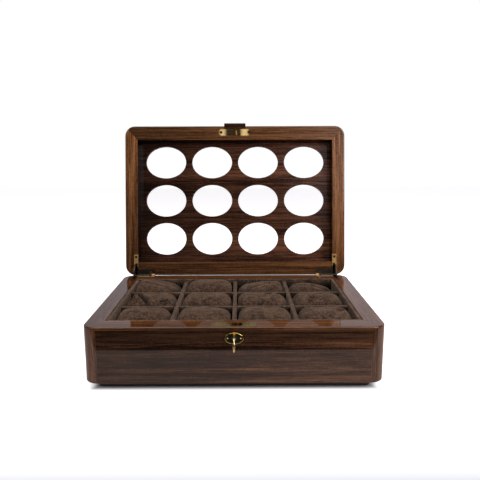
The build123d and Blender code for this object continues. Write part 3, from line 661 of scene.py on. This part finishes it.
class WATCHBOX_OT_lid(bpy.types.Operator):
    """Finish the rails, panels, glass and pull of the lid"""

    bl_idname = "watchbox.lid"
    bl_label = "Finish Lid"

    def execute(self, context):
        wood = context.scene.watchbox_wood
        dark, light = wood.lid_dark, wood.lid_light
        for side, along, cut, painted_light_drift, tone in LID_RAILS:
            # Each rail's tone drifts lighter as painted light.
            rail = lacquered(f"lid_{side}_walnut", along, dark, light, LID_ANGLE, cut, painted_light_drift, tone, "recess")
            dress(rail, f"lid_{side}_rail")
        dark, light = wood.carcass_dark, wood.carcass_light
        dress(lacquered("top_walnut", "x", dark, light, LID_ANGLE, (0.9, 0.7, 0.1)), "lid_top_panel")
        dark, light = wood.panel_dark, wood.panel_light
        # Painted light: the panel's tone drifts lighter towards the right.
        panel = lacquered(
            "panel_walnut", "x", dark, light, LID_ANGLE, (0.2, 0.2, 0.3), (4.2, 0), 1.05, "panel")
        dress(panel, "lid_inner_panel")
        pull = lacquered("pull_walnut", "x", dark, light, LID_ANGLE, (0.5, 0.4, 0.6), tone_scale=0.45)
        dress(pull, "lid_pull")
        dress(clear_glass("window_glass"), "lid_glass")
        return {"FINISHED"}


class WATCHBOX_OT_tray(bpy.types.Operator):
    """Cover the tray and its dividers with suede"""

    bl_idname = "watchbox.tray"
    bl_label = "Cover Tray"

    def execute(self, context):
        settings = context.scene.watchbox_suede
        walls = [f"tray_{side}_wall" for side in ("front", "rear", "left", "right")]
        dividers = ["long_divider_front", "long_divider_rear"]
        dividers += ["cross_divider_left", "cross_divider_middle", "cross_divider_right"]
        dress(suede("tray_suede", settings.tray), "tray_floor", *walls, *dividers)
        for node in walls + dividers:
            soften(node, settings.edge_round)
        return {"FINISHED"}


# The cushions

def evaluated_mesh(piece):
    graph = bpy.context.evaluated_depsgraph_get()
    return bpy.data.meshes.new_from_object(piece.evaluated_get(graph), depsgraph=graph)


def cushion_shell(node, voxel, shrink):
    """A closed even mesh of a cushion, cut a little smaller than its cell allows."""
    low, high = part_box(node)
    middle = (low + high) / 2
    form = bmesh.new()
    form.from_mesh(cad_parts[node].data)
    bmesh.ops.remove_doubles(form, verts=form.verts, dist=0.00002)
    about = Matrix.Translation(-middle)
    bmesh.ops.scale(form, vec=(shrink, shrink, shrink), space=about, verts=form.verts)
    mesh = bpy.data.meshes.new("shell")
    form.to_mesh(mesh)
    form.free()
    shell = bpy.data.objects.new("shell", mesh)
    bpy.context.scene.collection.objects.link(shell)
    remesh = shell.modifiers.new("Voxels", "REMESH")
    remesh.mode = "VOXEL"
    remesh.voxel_size = voxel
    even = evaluated_mesh(shell)
    bpy.data.objects.remove(shell)
    return even


def stuff(mesh, settings):
    """Lets pressure swell the shell, and caps how far a point may move."""
    scene = bpy.context.scene
    shell = bpy.data.objects.new("stuffing", mesh)
    scene.collection.objects.link(shell)
    cloth = shell.modifiers.new("Cloth", "CLOTH")
    cloth.settings.use_pressure = True
    cloth.settings.uniform_pressure_force = settings.pressure
    cloth.settings.effector_weights.gravity = 0
    cloth.settings.quality = 5
    cloth.settings.tension_stiffness = 12
    cloth.settings.compression_stiffness = 12
    cloth.settings.bending_stiffness = 0.4
    cloth.point_cache.frame_start = 1
    cloth.point_cache.frame_end = settings.steps
    for step in range(1, settings.steps + 1):
        scene.frame_set(step)
    swollen = evaluated_mesh(shell)
    for start, end in zip(mesh.vertices, swollen.vertices):
        move = end.co - start.co
        if move.length > settings.swell:
            end.co = start.co + move * (settings.swell / move.length)
    bpy.data.objects.remove(shell)
    scene.frame_set(1)
    return swollen


def fill_out(mesh, low, high, power):
    """Pushes the sides of a dome outwards, so that the stuffing fills the corners of its cell."""
    middle = (low + high) / 2
    half = (high - low) / 2
    for vertex in mesh.vertices:
        for axis in (0, 1):
            share = (vertex.co[axis] - middle[axis]) / half[axis]
            size = min(1.0, abs(share)) ** power
            vertex.co[axis] = middle[axis] + half[axis] * (size if share > 0 else -size)


# Folds of each cushion seen from above: from and to as shares of its half length and half width, then depth
# and width in millimetres.
FOLDS = {
    ("rear", 1): [((-0.9, -0.2), (0.7, -0.7), 1.5, 5)],
    ("rear", 3): [((-0.5, -0.6), (0.4, -0.1), 1.2, 5)],
    ("rear", 4): [((-0.8, 0.1), (0.6, -0.4), 2.0, 6)],
    ("middle", 1): [
        ((-0.8, -0.3), (-0.55, 0.05), 6.0, 3.5), ((-0.55, 0.05), (-0.12, -0.7), 8.0, 4),
        ((0.45, -0.65), (0.68, -0.5), 5.0, 3)],
    ("middle", 3): [((0.1, -0.2), (0.3, 0.6), 2.0, 7)],
    ("middle", 4): [((-0.3, -0.42), (-0.06, -0.4), 7.0, 4), ((-0.6, 0.3), (0.1, 0.1), 1.5, 4)],
    ("front", 1): [((-0.6, 0.2), (0.5, 0.5), 1.2, 6)],
    ("front", 4): [((0.3, -0.5), (0.6, 0.1), 2.5, 6)],
}

# How far the left and the right end of a slumped cushion sink, in millimetres.
SLUMPS = {("rear", 1): (0, 6.5), ("rear", 3): (3.0, 0), ("rear", 4): (0, 5.0)}


def deep_creases():
    """From, to and width of each deep fold that gets painted shade, seen from above, in metres."""
    creases = []
    for (row, column), folds in FOLDS.items():
        low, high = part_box(f"cushion_{row}_{column}")
        middle, half = (low + high) / 2, (high - low) / 2
        for start, end, depth, width in folds:
            if depth >= DEEP_FOLD:
                ends = [(middle.x + x * half.x, middle.y + y * half.y) for x, y in (start, end)]
                creases.append((*ends, width / 1000))
    return creases


def fold(mesh, low, high, folds, slump):
    """Presses folds into the top of a cushion, slumps its ends and puckers its cloth a little."""
    middle = (low + high) / 2
    half = (high - low) / 2
    for vertex in mesh.vertices:
        above = max(0.0, min(1.0, (vertex.co.z - middle.z) / (high.z - middle.z)))
        share = max(-1.0, min(1.0, (vertex.co.x - middle.x) / half.x))
        sink = (slump[0] * max(0.0, -share) + slump[1] * max(0.0, share)) / 1000
        for (x0, y0), (x1, y1), depth, width in folds:
            start = Vector((middle.x + x0 * half.x, middle.y + y0 * half.y))
            run = Vector((middle.x + x1 * half.x, middle.y + y1 * half.y)) - start
            reach = Vector(vertex.co.xy) - start
            along = max(0.0, min(1.0, reach.dot(run) / run.length_squared))
            off = (reach - run * along).length / (width / 1000)
            lip = FOLD_LIP[0] * exp(-((off - FOLD_LIP[1]) ** 2) * 2)
            sink += depth / 1000 * (exp(-off * off * 2) - lip)
        pucker = sum(noise.noise(vertex.co * scale) * height for scale, height in PUCKERS)
        vertex.co += vertex.normal * pucker * (0.4 + above)
        vertex.co.z -= sink * above
    mesh.update()


class WATCHBOX_OT_cushions(bpy.types.Operator):
    """Sew, stuff and crease the twelve cushions"""

    bl_idname = "watchbox.cushions"
    bl_label = "Stuff Cushions"

    def execute(self, context):
        settings = context.scene.watchbox_suede
        cloth = suede("cushion_suede", settings.cushion, deep_creases())
        for row in ROWS:
            for column in COLUMNS:
                node = f"cushion_{row}_{column}"
                mesh = cushion_shell(node, settings.voxel, settings.shrink)
                mesh = stuff(mesh, settings)
                finer = bmesh.new()
                finer.from_mesh(mesh)
                bmesh.ops.subdivide_edges(finer, edges=finer.edges, cuts=1, use_grid_fill=True, smooth=0.6)
                bmesh.ops.recalc_face_normals(finer, faces=finer.faces)
                finer.to_mesh(mesh)
                finer.free()
                low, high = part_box(node)
                fill_out(mesh, low, high, settings.fullness)
                fold(mesh, low, high, FOLDS.get((row, column), []), SLUMPS.get((row, column), (0, 0)))
                smooth(mesh)
                mesh.materials.clear()
                mesh.materials.append(cloth)
                piece = link_piece(f"pillow_{row}_{column}", mesh, node + "_body")
                surface = piece.modifiers.new("Surface", "SUBSURF")
                surface.levels = surface.render_levels = 1
                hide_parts(node)
        return {"FINISHED"}


class WATCHBOX_OT_hardware(bpy.types.Operator):
    """Polish the hinges, the stays, the lock, the key and the screws"""

    bl_idname = "watchbox.hardware"
    bl_label = "Polish Hardware"

    def execute(self, context):
        settings = context.scene.watchbox_brass
        dress(metal("polished_brass", settings.brass, 0.05), "base_screws", "lid_screws", "lock_rotor")
        for part in ("base", "lid"):
            leaf = metal(f"{part}_leaf_brass", settings.aged, 0.35, hinge=part, metallic=0.5)
            dress(leaf, f"hinge_{part}_leaf_left", f"hinge_{part}_leaf_right")
        dress(metal("bronze", settings.bronze, 0.3), "hinge_pins", "stay_left", "stay_right")
        dress(metal("pale_brass", settings.pale, 0.10, 0.8, 0.35), "escutcheon_pins", "key")
        dress(metal("pressed_brass", settings.brass, 0.08, wave=0.3, dish=DISH_DEPTH), "strike_plate")
        dress(metal("face_brass", settings.olive, 0.08), "lock_faceplate")
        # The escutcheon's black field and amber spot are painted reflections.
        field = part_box("escutcheon")[0].y + FIELD_SINK / 2
        dress(brass_with_painted_field("escutcheon_brass", settings.olive, settings.painted_field_reflection, field), "escutcheon")
        dress(metal("lock_steel", settings.steel, 0.3), "lock_case", "lock_bolt")
        return {"FINISHED"}


# The stage

def softbox(name, place, size, power):
    """A square area lamp that looks at the box."""
    lamp = bpy.data.lights.new(name, "AREA")
    lamp.shape = "SQUARE"
    lamp.size = size
    lamp.energy = power
    box = bpy.data.objects.new(name, lamp)
    bpy.context.scene.collection.objects.link(box)
    box.location = place
    box.rotation_euler = (Vector(LAMP_AIM) - Vector(place)).to_track_quat("-Z", "Y").to_euler()


def table(name, near, far, material):
    """One flat part of the table between two depths, as a stage piece."""
    corners = ((-TABLE_REACH, near), (TABLE_REACH, near), (TABLE_REACH, far), (-TABLE_REACH, far))
    form = bmesh.new()
    form.faces.new([form.verts.new((x, y, 0)) for x, y in corners])
    mesh = bpy.data.meshes.new(name)
    form.to_mesh(mesh)
    form.free()
    mesh.materials.append(material)
    piece = bpy.data.objects.new(name, mesh)
    bpy.context.scene.collection.objects.link(piece)


def table_white(name, lift):
    """White table, lifted to white for the camera except in a painted contact shadow close to the plinth and
    a painted shade behind the lid, and dimmer to mirrors."""
    material, shader, start = shader_of(name, Roughness=0.9, Specular_IOR_Level=0.1)
    path = start.node("ShaderNodeLightPath")
    outputs = path.socket.node.outputs
    seen = path.math("MAXIMUM", path, Wire(path.tree, outputs["Is Transmission Ray"]))
    bounced = Wire(path.tree, outputs["Glossy Depth"]).above(0.5, 0.1)
    feed(shader, "Base Color", bounced.blend((0.86, 0.84, 0.88), (0.78, 0.60, 0.54)))
    place = start.node("ShaderNodeTexCoord", None, None, "Object")
    aside = place.part("X").size()
    beside = aside - FOOT[0]
    before = place.part("Y").size() - FOOT[1]
    away = beside.math("MAXIMUM", beside, before)
    # Painted shadow round the plinth and painted shade behind the lid, where the table is not lifted.
    behind = (place.part("Y") - LID_SHADE_MIDDLE).size()
    shade = (1 - aside.above(LID_SHADE_HALF[0], 0.05)) * (1 - behind.above(LID_SHADE_HALF[1], 0.08))
    shader.inputs["Emission Color"].default_value = (1.0, 0.985, 1.0, 1.0)
    glow = away.above(CONTACT_SHADOW, 0.006) * seen * (1 - bounced) * (1 - shade * 0.95)
    feed(shader, "Emission Strength", glow * lift)
    return material


class WATCHBOX_OT_stage(bpy.types.Operator):
    """Set up the camera, the lamps, the white table and the room"""

    bl_idname = "watchbox.stage"
    bl_label = "Set Stage"

    def execute(self, context):
        settings = context.scene.watchbox_stage
        lens = bpy.data.cameras.new("camera")
        lens.lens = settings.lens
        lens.sensor_width = SENSOR_WIDTH
        lens.clip_end = VIEW_REACH
        camera = bpy.data.objects.new("camera", lens)
        context.scene.collection.objects.link(camera)
        turn = Matrix.Rotation(settings.yaw, 4, "Z") @ Matrix.Rotation(pi / 2 - settings.pitch, 4, "X")
        turn = turn @ Matrix.Rotation(settings.roll, 4, "Z")
        camera.matrix_world = Matrix.Translation(settings.camera_place) @ turn
        context.scene.camera = camera
        context.scene.view_settings.view_transform = "Standard"

        for name, place, size, power in SOFTBOXES:
            softbox(name, place, size, getattr(settings, power))

        table("table", settings.table_edge, TABLE_REACH, table_white("table_white", TABLE_GLOW))
        table("table_front", -TABLE_REACH, settings.table_edge, self.front_edge())
        self.room(context.scene, settings.room)
        return {"FINISHED"}

    def front_edge(self):
        """What lies in front of the table: pale to the camera and dark in reflections."""
        material, shader, start = shader_of("table_front_shade", Roughness=1.0, Specular_IOR_Level=0.0)
        shader.inputs["Base Color"].default_value = (0.03, 0.03, 0.035, 1.0)
        path = start.node("ShaderNodeLightPath")
        place = start.node("ShaderNodeTexCoord", None, None, "Object")
        near = place.part("Y").above(FRONT_GLOW_START, 0.018).blend((0.66, 0.68, 0.78), (1.0, 1.0, 1.0))
        feed(shader, "Emission Color", near)
        feed(shader, "Emission Strength", path)
        return material

    def room(self, scene, strength):
        """A room that is white to the camera and through glass; mirrors see a low grey wall behind, brighter
        on the right, a dark front and a pale card in front on the right."""
        world = bpy.data.worlds.new("room")
        scene.world = world
        world.use_nodes = True
        tree = world.node_tree
        background = tree.nodes["Background"]
        start = Wire(tree)
        path = start.node("ShaderNodeLightPath")
        outputs = path.socket.node.outputs
        through = Wire(tree, outputs["Is Transmission Ray"])
        bounced = Wire(tree, outputs["Glossy Depth"]).above(0.5, 0.1)
        seen = path.math("MAXIMUM", path, through)
        direction = start.node("ShaderNodeTexCoord", None, None, "Generated")
        right, behind, up = (direction.part(axis) for axis in "XYZ")
        wall = behind.above(0.2, 0.3) * (WALL_GREY + right.above(0.0, 0.2) * WALL_RIGHT)
        wall = wall * (1 - through * (1 - WALL_THROUGH_GLASS)) * (1 - up.above(WALL_TOP, 0.12))
        card = right.above(0.16, 0.12) * up.above(0.22, 0.1) * (1 - behind.above(-0.3, 0.2)) * CARD_LEVEL
        mirrored = DARK_ROOM + wall + card
        lit = bounced * mirrored + (1 - bounced) * strength
        shown = seen * (1 - bounced)
        level = shown * (1 + through * GLASS_LOSS) + (1 - shown) * lit
        tint = (bounced * (1 - through)).blend((1.0, 1.0, 1.0), (0.95, 0.97, 1.06))
        feed(background, "Color", tint)
        feed(background, "Strength", level)


# The add-on

class WATCHBOX_PT_panel(bpy.types.Panel):
    """Lists the steps that dress the box"""

    bl_label = "Watch Box"
    bl_idname = "WATCHBOX_PT_panel"
    bl_space_type = "VIEW_3D"
    bl_region_type = "UI"
    bl_category = "Watch Box"

    def draw(self, context):
        layout = self.layout
        for step in STEPS:
            layout.operator(step.bl_idname)
        for group in GROUPS:
            settings = getattr(context.scene, group)
            box = layout.box()
            for name in settings.bl_rna.properties.keys():
                if name not in ("rna_type", "name"):
                    box.prop(settings, name)


GROUPS = {
    "watchbox_wood": WoodSettings,
    "watchbox_suede": SuedeSettings,
    "watchbox_brass": BrassSettings,
    "watchbox_stage": StageSettings,
}
STEPS = (
    WATCHBOX_OT_stage, WATCHBOX_OT_carcass, WATCHBOX_OT_lid, WATCHBOX_OT_tray, WATCHBOX_OT_cushions,
    WATCHBOX_OT_hardware,
)


def register():
    for group in GROUPS.values():
        bpy.utils.register_class(group)
    for step in STEPS + (WATCHBOX_PT_panel,):
        bpy.utils.register_class(step)
    for name, group in GROUPS.items():
        setattr(bpy.types.Scene, name, PointerProperty(type=group))


def unregister():
    for name in GROUPS:
        delattr(bpy.types.Scene, name)
    for step in reversed(STEPS + (WATCHBOX_PT_panel,)):
        bpy.utils.unregister_class(step)
    for group in reversed(list(GROUPS.values())):
        bpy.utils.unregister_class(group)


def main():
    register()
    bpy.ops.watchbox.stage()
    bpy.ops.watchbox.carcass()
    bpy.ops.watchbox.lid()
    bpy.ops.watchbox.tray()
    bpy.ops.watchbox.cushions()
    bpy.ops.watchbox.hardware()
    bpy.context.view_layer.update()


if __name__ == "__main__":
    main()
